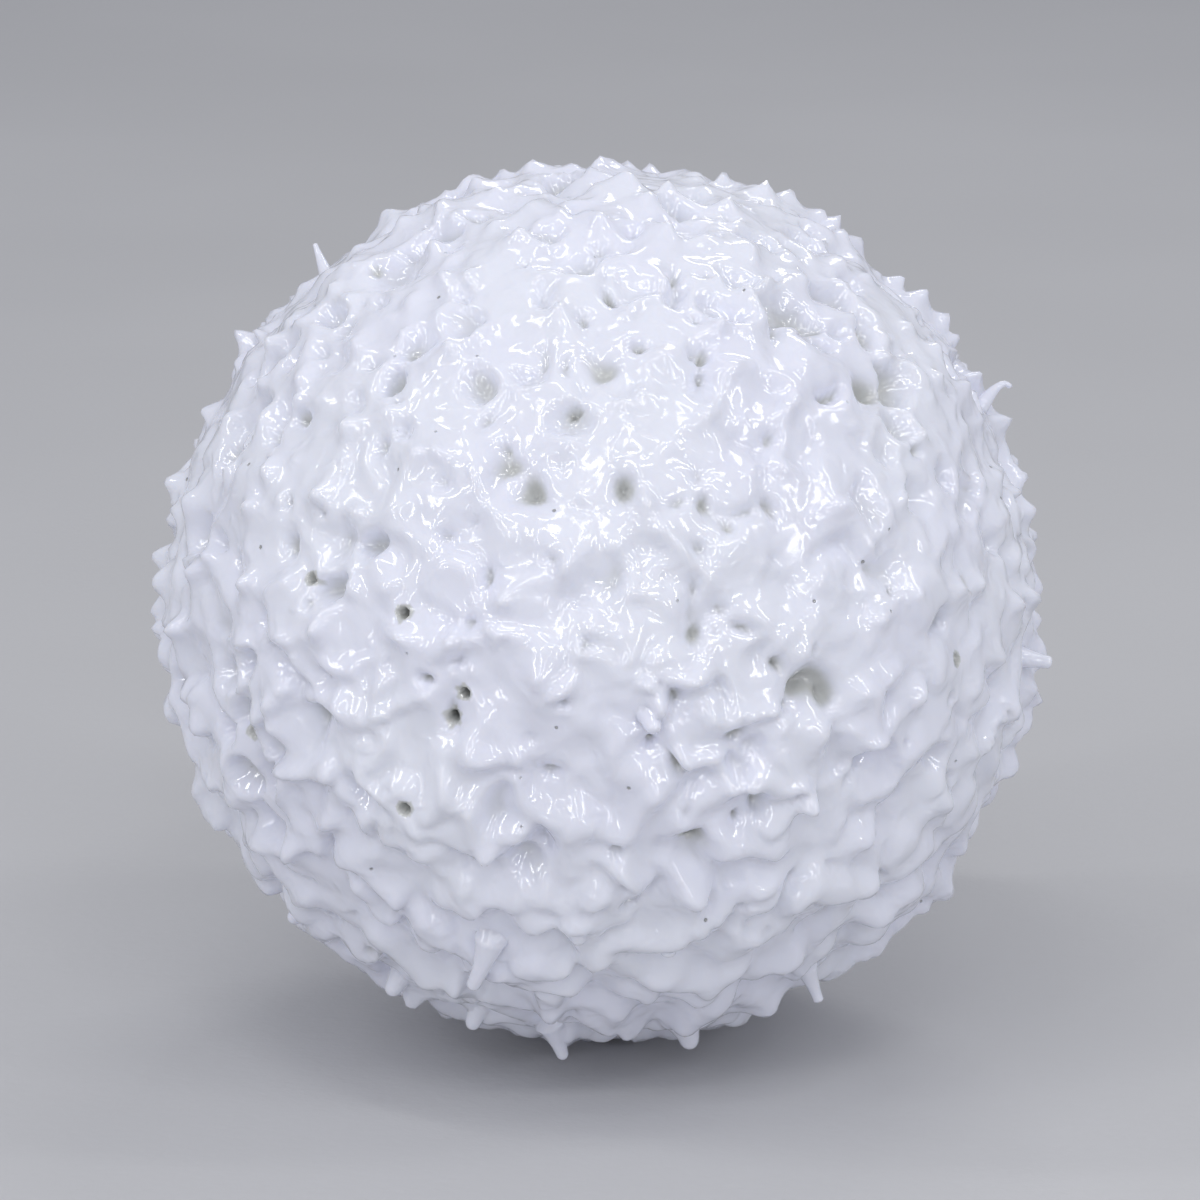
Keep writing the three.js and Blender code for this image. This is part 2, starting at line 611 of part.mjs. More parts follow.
const skin = new THREE.Mesh(skinGeometry(), skinMaterial);
skin.name = 'cast_skin';

const cueBall = new THREE.Group();
cueBall.add(core, skin);

export default cueBall;
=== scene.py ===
# Looks of the cue ball: the rough cast skin at full detail, the core ball inside it, a pale floor,
# soft studio light and the camera. Metres, in the CAD model's frame.

import math

import bpy
import numpy as np
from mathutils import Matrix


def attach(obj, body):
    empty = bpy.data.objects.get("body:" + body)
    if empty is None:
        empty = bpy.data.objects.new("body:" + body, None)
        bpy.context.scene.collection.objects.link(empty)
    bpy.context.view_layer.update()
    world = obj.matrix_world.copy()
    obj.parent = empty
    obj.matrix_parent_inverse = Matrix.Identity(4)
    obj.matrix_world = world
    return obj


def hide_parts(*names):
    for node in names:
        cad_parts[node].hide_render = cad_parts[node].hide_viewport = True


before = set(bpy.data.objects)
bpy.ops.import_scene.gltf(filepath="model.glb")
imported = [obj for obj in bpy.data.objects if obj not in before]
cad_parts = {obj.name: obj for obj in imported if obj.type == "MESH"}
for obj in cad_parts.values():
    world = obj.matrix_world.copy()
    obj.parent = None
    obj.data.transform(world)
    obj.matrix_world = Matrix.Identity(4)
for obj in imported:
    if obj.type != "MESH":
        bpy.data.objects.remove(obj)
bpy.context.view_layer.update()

MM = 0.001

# Driving dimensions of the ball, in millimetres, as in the CAD model

BALL_RADIUS = 57.15 / 2
CORE_RADIUS = 23.0
FIT_GAP = 0.3
FLOOR_DROP = 0.5

PINHOLE_MOUTH_RADIUS = 0.5
PINHOLE_END_RADIUS = 0.3
PINHOLE_SHADE_RADIUS = 0.56  # the skin is painted grey as shade up to this far from a pinhole's middle
PINHOLE_SIDES = 8
PINHOLE_SKEW = 0.5  # turns the pinholes' corners away from the face's axes
DRILL_START = CORE_RADIUS - 1  # within the space for the core
DRILL_END = BALL_RADIUS + 3  # clear of the tallest tips

TIP_ROUNDING = (0.3, 0.95)  # over the ball's shoulder, and under it
TIP_SPREAD = 0.55
TIP_POWER = (1.0, 2.2)  # tips are sharp over and blunt under
BOWL_FUNNEL = (0.35, 1.7, 2.0)  # shares of a bowl's depth and radius, and power of its profile
BOWL_WELL = (0.9, 0.7, 1.8)
PIT_POWER = 1.4
LEAN = 0.55
LEAN_TURN = 0.6  # radians that the drooping tips stray to either side
LEAN_TURN_RATE = 0.5
LEAN_TOP = 0.35  # height over the centre where the lean starts, as a share of the radius
LEAN_BOTTOM = -0.55  # and where it is full

SKIN_SEGMENTS = 96  # along each edge of the icosahedron that the sphere is divided from
PLAIN_SEGMENTS = 16
POINT_KEYS = 1e6  # neighbouring faces share the points that agree to a millionth

# Where things are on the face, as in the CAD model. The face is seen from EYE ball radii away,
# FACE_TILT above level. Across and up run from -1 to 1 over the visible disc.

EYE = 15
FACE_RADIUS = 29.3  # of the disc's outline, through most of the tips
RIM_TIP_SHARE = 0.95
FACE_TILT = math.radians(15)

# [across, up] of the tips that stand out around the face's rim
RIM_TIPS = [
    [0.99, 0.06], [1.01, 0.12], [0.98, 0.2], [0.96, 0.29], [0.93, 0.42], [0.87, 0.49],
    [0.82, 0.6], [0.78, 0.65], [0.75, 0.69], [0.7, 0.74], [0.58, 0.82], [0.54, 0.86],
    [0.49, 0.89], [0.43, 0.91], [0.37, 0.94], [0.27, 0.99], [0.2, 0.99], [0.13, 0.98],
    [0.05, 0.99], [-0.06, 1.0], [-0.15, 0.99], [-0.22, 0.98], [-0.29, 0.97], [-0.48, 0.9],
    [-0.68, 0.72], [-0.78, 0.65], [-0.84, 0.59], [-0.88, 0.51], [-0.91, 0.42], [-0.97, 0.27],
    [-0.98, 0.2], [-1.0, 0.1], [-1.01, 0.0], [-1.01, -0.05], [-0.99, -0.12], [-0.98, -0.24],
    [-0.94, -0.33], [-0.91, -0.44], [-0.87, -0.49], [-0.84, -0.54], [-0.78, -0.63],
    [-0.67, -0.74], [-0.55, -0.85], [-0.36, -0.95], [-0.18, -0.98], [0.24, -0.98],
    [0.31, -0.96], [0.55, -0.84], [0.61, -0.8], [0.65, -0.78], [0.68, -0.74], [0.75, -0.69],
    [0.79, -0.66], [0.81, -0.57], [0.86, -0.51], [0.89, -0.44], [0.95, -0.36], [0.97, -0.26],
    [1.0, -0.2], [1.01, -0.1], [1.0, -0.03],
]

# [across, up, height] of single tips on the face
FACE_TIPS = [
    [-0.3, -0.8, 1.2], [-0.02, -0.66, 1.7], [0.2, -0.67, 1.6], [0.34, -0.75, 1.6],
    [-0.05, -0.72, 1.5], [0.22, -0.37, 1.9], [0.12, -0.25, 1.7], [0.46, -0.45, 2.1],
    [-0.64, 0.24, 1.5], [-0.81, -0.25, 1.6],
]

# [across, up, across, up, height] of ridges: the brows that overhang the lower half's bowls
FACE_RIDGES = [
    [-0.22, -0.1, -0.13, -0.15, 0.9], [-0.13, -0.15, -0.08, -0.2, 1.1], [-0.08, -0.04, 0.0, -0.06, 0.8],
    [0.0, -0.06, 0.05, -0.1, 0.9], [-0.52, -0.38, -0.47, -0.43, 1.2], [-0.47, -0.43, -0.4, -0.45, 1.2],
    [-0.55, -0.5, -0.5, -0.51, 1.2], [-0.5, -0.51, -0.38, -0.58, 1.3], [-0.38, -0.58, -0.33, -0.65, 1.3],
    [-0.17, -0.83, -0.1, -0.82, 1.4], [0.0, -0.8, 0.15, -0.77, 1.3], [0.15, -0.77, 0.2, -0.74, 1.3],
    [0.15, -0.86, 0.25, -0.87, 1.4], [0.25, -0.87, 0.28, -0.85, 1.4], [-0.62, -0.13, -0.5, -0.2, 1.0],
    [0.66, -0.17, 0.73, -0.22, 1.2], [0.5, -0.65, 0.6, -0.63, 1.5],
    [-0.68, -0.23, -0.6, -0.24, 1.5], [-0.73, -0.38, -0.63, -0.38, 1.4],
    [0.12, -0.2, 0.22, -0.17, 1.5], [0.28, -0.25, 0.36, -0.26, 1.5],
    [0.34, -0.42, 0.44, -0.42, 1.6], [-0.54, -0.33, -0.44, -0.54, 1.4],
    [-0.42, -0.57, -0.31, -0.69, 1.4], [0.25, -0.57, 0.32, -0.57, 1.3],
    [0.34, -0.56, 0.42, -0.56, 1.3], [-0.24, -0.08, -0.12, -0.12, 1.3],
]

# [across, up, depth, radius] of the bowls on the face
FACE_BOWLS = [
    [-0.6, 0.64, 1.0, 0.7], [-0.45, 0.58, 1.2, 0.8], [-0.54, 0.55, 0.7, 0.6], [-0.69, 0.43, 1.3, 0.7],
    [-0.77, 0.37, 0.9, 0.6], [-0.62, 0.39, 0.8, 0.6], [-0.5, 0.35, 0.9, 0.6], [-0.22, 0.31, 1.5, 0.9],
    [-0.14, 0.255, 1.6, 0.8], [-0.17, 0.27, 0.9, 0.7], [0.06, 0.255, 1.6, 1.0],
    [-0.36, 0.17, 1.1, 0.6], [-0.73, 0.12, 1.1, 0.7],
    [-0.85, 0.05, 1.0, 0.7], [0.01, 0.55, 1.1, 0.9], [0.01, 0.73, 1.2, 0.7], [-0.04, 0.66, 0.8, 0.6],
    [-0.14, 0.57, 0.9, 0.6], [-0.07, 0.54, 0.8, 0.6], [-0.01, 0.83, 0.9, 0.7], [0.19, 0.76, 1.1, 0.7],
    [0.51, 0.72, 1.4, 0.8], [0.51, 0.66, 0.9, 0.6], [0.43, 0.62, 1.0, 0.8], [0.26, 0.56, 1.2, 0.8],
    [0.62, 0.62, 1.2, 0.9], [0.63, 0.5, 2.2, 1.0], [0.39, 0.39, 1.0, 0.7], [0.26, 0.22, 1.3, 0.8],
    [0.22, 0.29, 0.9, 0.7], [0.4, 0.21, 1.0, 0.7], [0.02, 0.05, 0.8, 1.1], [0.22, 0.14, 0.9, 0.7],
    [-0.28, 0.07, 0.9, 0.7], [-0.31, -0.06, 0.9, 0.7], [0.02, -0.41, 0.8, 0.6], [0.7, -0.46, 1.0, 0.8],
    [-0.23, -0.89, 0.9, 0.7], [0.46, -0.19, 1.3, 0.8], [0.52, -0.225, 1.6, 0.8], [0.22, -0.07, 1.4, 0.8],
    [0.2, -0.02, 0.9, 0.6], [0.3, -0.02, 1.0, 0.6], [0.92, -0.21, 1.2, 0.8], [-0.67, -0.28, 1.5, 0.9],
    [-0.67, -0.42, 1.1, 0.8], [0.17, -0.23, 1.1, 0.8], [0.32, -0.3, 1.1, 0.8], [0.38, -0.47, 1.1, 0.8],
    [0.49, -0.205, 1.5, 0.8], [-0.345, -0.285, 1.1, 0.8],
]

# [across, up, out, radius] along each finger of resin that stands or hangs clear of the skin
FINGERS = [
    [[-0.6, 0.7, 0.15, 0.7], [-0.625, 0.76, 0.1, 0.32], [-0.64, 0.8, 0.08, 0.16]],
    [[0.85, 0.43, 0.12, 0.6], [0.895, 0.48, 0.1, 0.26], [0.92, 0.475, 0.1, 0.2]],
    [[0.93, -0.125, 0.15, 0.8], [0.98, -0.135, 0.15, 0.5], [1.01, -0.14, 0.15, 0.42]],
    [[-0.62, -0.66, 0.15, 0.9], [-0.66, -0.69, 0.13, 0.6], [-0.695, -0.72, 0.12, 0.5]],
    [[-0.235, -0.73, 0.6, 1.1], [-0.255, -0.79, 0.57, 0.62], [-0.28, -0.845, 0.53, 0.48]],
    [[-0.11, -0.94, 0.2, 1.1], [-0.095, -0.98, 0.18, 0.6], [-0.08, -1.025, 0.16, 0.38]],
    [[0.18, -0.93, 0.2, 1.2], [0.195, -0.965, 0.18, 0.8], [0.2, -1.0, 0.16, 0.55]],
    [[0.455, -0.81, 0.25, 0.8], [0.475, -0.86, 0.22, 0.42], [0.488, -0.895, 0.21, 0.36]],
    [[-0.44, -0.83, 0.2, 0.9], [-0.455, -0.855, 0.2, 0.65], [-0.47, -0.88, 0.2, 0.55]],
    [[-0.27, -0.91, 0.15, 0.9], [-0.28, -0.935, 0.15, 0.6], [-0.288, -0.96, 0.15, 0.5]],
    [[0.1, -0.23, 0.91, 1.0], [0.11, -0.26, 0.945, 0.6], [0.115, -0.28, 0.96, 0.42]],
    [[-0.04, -0.67, 0.67, 1.0], [-0.045, -0.71, 0.67, 0.65], [-0.045, -0.74, 0.655, 0.5]],
    [[0.13, -0.71, 0.62, 1.0], [0.145, -0.75, 0.615, 0.6], [0.15, -0.77, 0.61, 0.45]],
]
FINGER_ROOT = 0.93  # a finger's root lies this share of the way from the centre to its first stop
FINGER_SIDES = 12
FINGER_RINGS = 8  # along its length, and TIP_RINGS more over its round end
TIP_RINGS = 6
FINGER_SKEW = 0.3  # turns a finger's corners away from the face's axes
BEND_STEP = 0.01  # share of a finger's length that its direction is taken over

# [across, up] of the pinholes on the face
FACE_PINHOLES = [
    [-0.44, -0.47], [-0.32, -0.22], [-0.35, -0.28], [0.83, -0.14],
    [-0.67, 0.05], [-0.46, -0.03], [0.21, -0.55], [-0.82, -0.31],
]

# The rest of the relief is scattered evenly over the whole ball from a fixed seed.

TIP_COUNT = 1350
TIP_JITTER = 1.5
TIP_HEIGHTS = (0.1, 1.4)
TIP_RARITY = (1.6, 0.9)  # power that makes tall tips rarer than low ones, over and under
TIP_CLEARANCE = 1.4
WEB_LINKS = 3  # how many neighbours each tip is joined to
WEB_REACH = 6.0
WEB_CLEARANCE = 0.9  # between a web and the middle of a bowl on the face
WEB_SAG = (0.5, 0.05)  # share of the tips' height that a web sinks by between them, over and under
WEB_SPREAD = 0.6
WEB_FADE = 6  # how many spreads away a web stops being felt
BLEND = 0.15  # rounding where webs meet each other and the floor
HOLLOW_COUNT = 900
HOLLOW_JITTER = 4
HOLLOW_STEEPNESS = (0.2, 0.75)  # depth as a share of the radius
OVER_STEEPNESS = 0.4  # share that hollows are deeper by over the ball's shoulder
PATCHINESS = 0.7  # share by which they are deeper in some patches of the ball than in others
PATCH_RATE = 0.6
PATCH_SHARES = (0.3, 1.4)  # least and most of it
HOLLOW_RADII = (0.8, 1.8)
HOLLOW_BLEND = 0.14  # rounding of the rims where hollows meet
HOLLOW_FADE = 5  # how many blends below its rim a hollow stops being felt
BOWL_FADE = 2.5  # how many radii away a bowl stops being felt
HOLLOW_CLEARANCE = 1.3
HOLLOW_SHADE_DEPTH = 1.4  # of a bowl that is as grey as bowls get, in painted shade
DISH_SHADE = 0.6  # how much of a bowl's painted shade a hollow of the same depth has
PIT_COUNT = 620
PIT_JITTER = 4
PIT_CLEARANCE = 1.2
PIT_DEPTHS = (0.2, 1.6)
PIT_RADII = (0.25, 0.5)
CREASES = ((0.35, 1.2), (0.2, 2.3))  # height and rate of each layer of creases
CREASE_ROUNDING = 0.4
CREASE_SPREAD = 0.4
RIPPLE = 0.05
RIPPLE_RATE = 3.0
RIPPLE_PLACE_RATE = 0.4
RIPPLE_SHARE = 0.6  # of ripples and creases that an ordinary place has
RIPPLE_SHARES = (0.15, 1)  # least and most of them
SWELL = 0.2  # height of the slow waves that the whole skin rides on
SWELL_RATE = 0.8
WAVE_COUNT = 16
SWIRL = 0.43
SWIRL_RATE = 1.5
BACK_PINHOLES = 12
PINHOLE_JITTER = 6
SEED = 57
HOLLOW_SEED = SEED + 1
PIT_SEED = SEED + 2
PINHOLE_SEED = SEED + 3
SWIRL_SEED = SEED + 4  # and the next two, for the other axes
LEAN_SEED = SEED + 7
RIPPLE_PLACE_SEED = SEED + 8
RIPPLE_SEED = SEED + 9
CREASE_SEED = SEED + 10  # and the next, for the second layer
SWELL_SEED = SEED + 12
PATCH_SEED = SEED + 13
DICE_FACTOR = 48271  # of the minimal standard generator, as is its period
DICE_PERIOD = 2147483647

# Materials. Noise scales are per metre, bumps in metres.

SKIN_WHITES = ((0.82, 0.834, 0.95, 1), (0.83, 0.848, 0.94, 1))
SKIN_CLOUDS = (90, 3, (0.35, 0.65))  # scale, detail and the span of the noise that is used
SKIN_SMEARS = (160, 2, (0.35, 0.7))
SKIN_ROUGHNESS = (0.09, 0.17)
SKIN_IOR = 1.75
SKIN_SCATTER = 0.3  # share of the light that goes under the surface
SCATTER_COLOUR = (1.0, 0.9, 0.8)
SCATTER_REACH = 0.0006
# painted shade for the bowls, hollows and pinholes
HOLLOW_SHADE_GREY = (0.60, 0.61, 0.60, 1)
HOLLOW_SHADE_SPAN = (0.2, 0.9)  # from hardly grey to quite grey, in painted shade
CREASE_SCALE = 700
CREASE_DETAIL = 1
CREASE_DISTORTION = 0.6
CREASE_BUMP = 0.00011
# painted shade inside the pricks
PRICK_SHADE_GREY = (0.42, 0.43, 0.41, 1)
PRICK_SCALE = 420
PRICK_SPAN = (0.02, 0.07)  # its inner and outer radius, in cells
PRICK_RARITY = (0.5, 0.65)  # cells below have no prick, cells above have a full one
PRICK_BUMP = 0.0002
CORE_GREYS = ((0.30, 0.31, 0.25, 1), (0.38, 0.39, 0.32, 1))
CORE_MOTTLE = (260, 4, (0.35, 0.65))
CORE_ROUGHNESS = (0.5, 0.7)
CORE_GRAIN = (1500, 3, 0.00005)  # scale, detail and bump
PAPER_GREYS = ((0.53, 0.53, 0.54, 1), (0.56, 0.56, 0.57, 1))
PAPER_CLOUDS = (9, 3, (0.3, 0.7))
PAPER_ROUGHNESS = (0.75, 0.85)
PAPER_GRAIN = (1200, 2, 0.00004)

# Stage, light and camera, in metres and degrees

FLOOR_SIZE = 6
STUDIO_COLOUR = (0.90, 0.92, 1.0, 1)
STUDIO_STRENGTH = 0.49
SOFTBOX_RADIANCE = 8.8
SOFTBOX_DISTANCE = 0.5

# name, azimuth (0 in front, positive to the right), elevation, width and height
SOFTBOXES = [
    ("left", -55, 25, 0.032, 0.24), ("right", 52, 30, 0.032, 0.24), ("front", 6, 45, 0.22, 0.032),
    ("high", -35, 70, 0.22, 0.032), ("low_left", -24, 12, 0.022, 0.2), ("far_left", -85, 45, 0.03, 0.2),
    ("low_right", 28, 10, 0.022, 0.2), ("far_right", 80, 50, 0.03, 0.2), ("back", 160, 50, 0.2, 0.05),
    ("low_front", 2, 20, 0.02, 0.14), ("upper_left", -22, 38, 0.02, 0.14),
    ("upper_right", 26, 58, 0.14, 0.02), ("foot_left", -42, 5, 0.014, 0.08),
    ("foot_right", 14, 5, 0.014, 0.08),
]

SENSOR_WIDTH = 36  # millimetres, as the lens is
LENS = 194.5  # makes the ball as large in the frame as it is in the photo


class Dice:
    """Random numbers: the same ones for a seed each time, and the same as the CAD model's."""

    def __init__(self, seed):
        self.state = seed

    def roll(self, low, high):
        self.state = (self.state * DICE_FACTOR) % DICE_PERIOD
        return low + (high - low) * self.state / DICE_PERIOD


# Directions from the ball's centre

FACE_RIGHT = np.array([1.0, 0.0, 0.0])
FACE_UP = np.array([0.0, math.sin(FACE_TILT), math.cos(FACE_TILT)])
FACE_OUT = np.array([0.0, -math.cos(FACE_TILT), math.sin(FACE_TILT)])


def unit(vector):
    return vector / np.linalg.norm(vector)


def on_face(right, up, out):
    return right * FACE_RIGHT + up * FACE_UP + out * FACE_OUT


def rim_direction(across, up):
    """Direction from the ball's centre of a point on the face's rim."""
    rim_out = 1 / EYE
    rim_aside = math.sqrt(1 - rim_out * rim_out) / math.hypot(across, up)
    return on_face(rim_aside * across, rim_aside * up, rim_out)


def face_direction(across, up):
    """Direction of the point seen at (across, up) on the disc: where the sight line meets the sphere."""
    aside = math.hypot(across, up)
    disc_radius = EYE / math.sqrt(EYE * EYE - 1)
    slope = aside * disc_radius / EYE
    reach = EYE * EYE * slope * slope
    depth = (EYE * slope * slope + math.sqrt(1 + slope * slope - reach)) / (1 + slope * slope)
    scale = disc_radius * (1 - depth / EYE)
    return unit(on_face(across * scale, up * scale, depth))


def spiral_direction(index, count):
    height = 1 - (2 * index + 1) / count
    turn = index * math.pi * (3 - math.sqrt(5))
    aside = math.sqrt(1 - height * height)
    return np.array([aside * math.cos(turn), aside * math.sin(turn), height])


def jittered(dice, direction, most):
    shift = np.array([dice.roll(-1, 1), dice.roll(-1, 1), dice.roll(-1, 1)])
    return unit(direction + shift * most / BALL_RADIUS)


# Marks on the skin


def underness(height):
    """0 over the ball's shoulder and 1 near its underside. Height is in ball radii from the centre."""
    return np.clip((LEAN_TOP - height) / (LEAN_TOP - LEAN_BOTTOM), 0, 1)


class Web:
    """A tip where both ends are the same, or else the ridge that hangs between two tips."""

    def __init__(self, start, end, start_height, end_height, spread):
        self.start = start * BALL_RADIUS
        self.end = end * BALL_RADIUS
        self.centre = (self.start + self.end) / 2
        self.start_height = start_height
        self.end_height = end_height
        under = underness(self.centre[2] / BALL_RADIUS)
        self.spread = spread
        self.rounding = TIP_ROUNDING[0] + (TIP_ROUNDING[1] - TIP_ROUNDING[0]) * under
        self.power = TIP_POWER[0] + (TIP_POWER[1] - TIP_POWER[0]) * under
        self.sag = WEB_SAG[0] + (WEB_SAG[1] - WEB_SAG[0]) * under

    def places(self, points):
        """How far the points are from the web, and how far along it they are."""
        along = self.end - self.start
        length_squared = along @ along
        part = np.zeros(len(points))
        if length_squared > 0:
            part = np.clip((points - self.start) @ along / length_squared, 0, 1)
        return np.linalg.norm(points - self.start - part[:, None] * along, axis=1), part

    def heights(self, points):
        distance, part = self.places(points)
        top = self.start_height + (self.end_height - self.start_height) * part
        top *= 1 - self.sag * 4 * part * (1 - part)
        aside = (np.hypot(distance, self.rounding) - self.rounding) / self.spread
        return top * np.exp(-(aside**self.power))


class Bowl:
    """A round dent that the skin runs smoothly down into."""

    def __init__(self, direction, depth, radius, power):
        self.centre = direction * BALL_RADIUS
        self.depth = depth
        self.radius = radius
        self.power = power

    def heights(self, points):
        distance = np.linalg.norm(points - self.centre, axis=1)
        return -self.depth * np.exp(-((distance / self.radius) ** self.power))


class Hollow:
    """A shallow dish, with a narrow ridge wherever it meets its neighbours."""

    def __init__(self, direction, radius, steepness):
        self.centre = direction * BALL_RADIUS
        self.radius = radius
        self.depth = radius * steepness
        self.reach = radius * math.sqrt(1 + HOLLOW_FADE * HOLLOW_BLEND / self.depth)

    def heights(self, points):
        distance = np.linalg.norm(points - self.centre, axis=1)
        return self.depth * (1 - (distance / self.radius) ** 2)


def far_from(centres, point, clearance):
    return not len(centres) or np.linalg.norm(np.array(centres) - point, axis=1).min() > clearance


def placed_tips():
    tips = []
    for across, up in RIM_TIPS:
        height = math.hypot(across, up) * FACE_RADIUS - BALL_RADIUS + FLOOR_DROP
        tips.append((rim_direction(across, up), height * RIM_TIP_SHARE))
    tips += [(face_direction(across, up), height) for across, up, height in FACE_TIPS]
    return tips


def placed_ridges():
    ridges = []
    for across, up, across2, up2, height in FACE_RIDGES:
        start = face_direction(across, up)
        end = face_direction(across2, up2)
        ridges.append(Web(start, end, height, height, WEB_SPREAD))
    return ridges


def placed_bowls():
    """Each one a wide shallow funnel with a narrow deep well."""
    bowls = []
    for across, up, depth, radius in FACE_BOWLS:
        direction = face_direction(across, up)
        for depth_share, radius_share, power in (BOWL_FUNNEL, BOWL_WELL):
            bowls.append(Bowl(direction, depth * depth_share, radius * radius_share, power))
    return bowls


def scattered_tips(taken):
    dice = Dice(SEED)
    tips = []
    for index in range(TIP_COUNT):
        direction = jittered(dice, spiral_direction(index, TIP_COUNT), TIP_JITTER)
        low, high = TIP_HEIGHTS
        rarity = TIP_RARITY[0] + (TIP_RARITY[1] - TIP_RARITY[0]) * underness(direction[2])
        height = low + (high - low) * dice.roll(0, 1) ** rarity
        if far_from(taken, direction * BALL_RADIUS, TIP_CLEARANCE):
            tips.append((direction, height))
    return tips


def scattered_hollows(taken):
    dice = Dice(HOLLOW_SEED)
    hollows = []
    for index in range(HOLLOW_COUNT):
        direction = jittered(dice, spiral_direction(index, HOLLOW_COUNT), HOLLOW_JITTER)
        radius = dice.roll(*HOLLOW_RADII)
        deeper = 1 + OVER_STEEPNESS * (1 - underness(direction[2]))
        patch = 1 + PATCHINESS * waved(direction[None] * BALL_RADIUS, PATCH_RATE, PATCH_SEED)[0]
        steepness = dice.roll(*HOLLOW_STEEPNESS) * deeper * np.clip(patch, *PATCH_SHARES)
        hollow = Hollow(direction, radius, steepness)
        if far_from(taken, hollow.centre, HOLLOW_CLEARANCE):
            hollows.append(hollow)
    return hollows


def scattered_pits(taken):
    dice = Dice(PIT_SEED)
    pits = []
    for index in range(PIT_COUNT):
        direction = jittered(dice, spiral_direction(index, PIT_COUNT), PIT_JITTER)
        pit = Bowl(direction, dice.roll(*PIT_DEPTHS), dice.roll(*PIT_RADII), PIT_POWER)
        if far_from(taken, pit.centre, PIT_CLEARANCE):
            pits.append(pit)
    return pits


def webs_between(tips, kept_open):
    """Each tip on its own, and a web from it to its nearest neighbours where none of the bowls lies."""
    places = np.array([direction for direction, height in tips]) * BALL_RADIUS
    webs = []
    joined = set()
    for index, (direction, height) in enumerate(tips):
        webs.append(Web(direction, direction, height, height, TIP_SPREAD))
        distances = np.linalg.norm(places - places[index], axis=1)
        for other in np.argsort(distances, kind="stable")[1:WEB_LINKS + 1]:
            pair = (min(index, other), max(index, other))
            if distances[other] < WEB_REACH and pair not in joined:
                joined.add(pair)
                web = Web(direction, tips[other][0], height, tips[other][1], WEB_SPREAD)
                if web.places(kept_open)[0].min() > WEB_CLEARANCE:
                    webs.append(web)
    return webs


def waved(points, rate, seed):
    """Smooth noise from -1 to 1 or so, with about that rate of radians to the millimetre."""
    dice = Dice(seed)
    total = np.zeros(len(points))
    for index in range(WAVE_COUNT):
        along = np.array([dice.roll(-1, 1), dice.roll(-1, 1), dice.roll(-1, 1)])
        phase = dice.roll(0, 2 * math.pi)
        total += np.sin(points @ along * rate + phase)
    return total / math.sqrt(WAVE_COUNT)


def swirled(points):
    """Points shifted sideways by slow waves, so that no mark stays quite round."""
    shift = [waved(points, SWIRL_RATE, SWIRL_SEED + axis) for axis in range(3)]
    return points + SWIRL * np.stack(shift, axis=1)


def rippled(points):
    """Fine ripples and creases, more of them in some places than in others."""
    place = np.clip(RIPPLE_SHARE + waved(points, RIPPLE_PLACE_RATE, RIPPLE_PLACE_SEED), *RIPPLE_SHARES)
    total = RIPPLE * waved(points, RIPPLE_RATE, RIPPLE_SEED)
    for layer, (height, rate) in enumerate(CREASES):
        folds = np.hypot(waved(points, rate, CREASE_SEED + layer), CREASE_ROUNDING)
        total += height * np.exp(-folds / CREASE_SPREAD)
    return place * total


class Field:
    """Points sorted by height, so that those near a mark are quick to find."""

    def __init__(self, points):
        self.order = np.argsort(points[:, 2], kind="stable")
        self.sorted = points[self.order]

    def near(self, centre, reach):
        first, last = np.searchsorted(self.sorted[:, 2], [centre[2] - reach, centre[2] + reach])
        layer = np.abs(self.sorted[first:last, :2] - centre[:2]).max(axis=1) < reach
        return self.order[first:last][layer]


def relief(points, webs, hollows, bowls):
    """Height of the skin over its floor at each point on the ball, and how deep in a bowl or hollow it is,
    which sets the shade painted on it.
    """
    field = Field(points)
    total = np.ones(len(points))
    for web in webs:
        half = np.linalg.norm(web.end - web.start) / 2
        near = field.near(web.centre, web.spread * WEB_FADE + half)
        total[near] += np.exp(web.heights(points[near]) / BLEND) - 1
    heights = BLEND * np.log(total)
    dished = np.ones(len(points))
    for hollow in hollows:
        near = field.near(hollow.centre, hollow.reach)
        dished[near] += np.exp(hollow.heights(points[near]) / HOLLOW_BLEND)
    dished = HOLLOW_BLEND * np.log(dished)
    sunk = np.zeros(len(points))
    for bowl in bowls:
        near = field.near(bowl.centre, bowl.radius * BOWL_FADE)
        sunk[near] += bowl.heights(points[near])
    swell = SWELL * waved(points, SWELL_RATE, SWELL_SEED)
    return heights + swell + sunk - dished, dished * DISH_SHADE - sunk


def leaned(directions, heights):
    """Below the ball's middle the tips droop towards its underside."""
    low = underness(directions[:, 2:])
    down = np.array([0, 0, -1]) + directions * directions[:, 2:]
    aside = np.cross(directions, down)
    turn = LEAN_TURN * waved(directions * BALL_RADIUS, LEAN_TURN_RATE, LEAN_SEED)[:, None]
    down = down * np.cos(turn) + aside * np.sin(turn)
    radius = BALL_RADIUS - FLOOR_DROP + heights[:, None]
    return directions * radius + down * LEAN * low * np.maximum(0, heights[:, None])


# Meshes


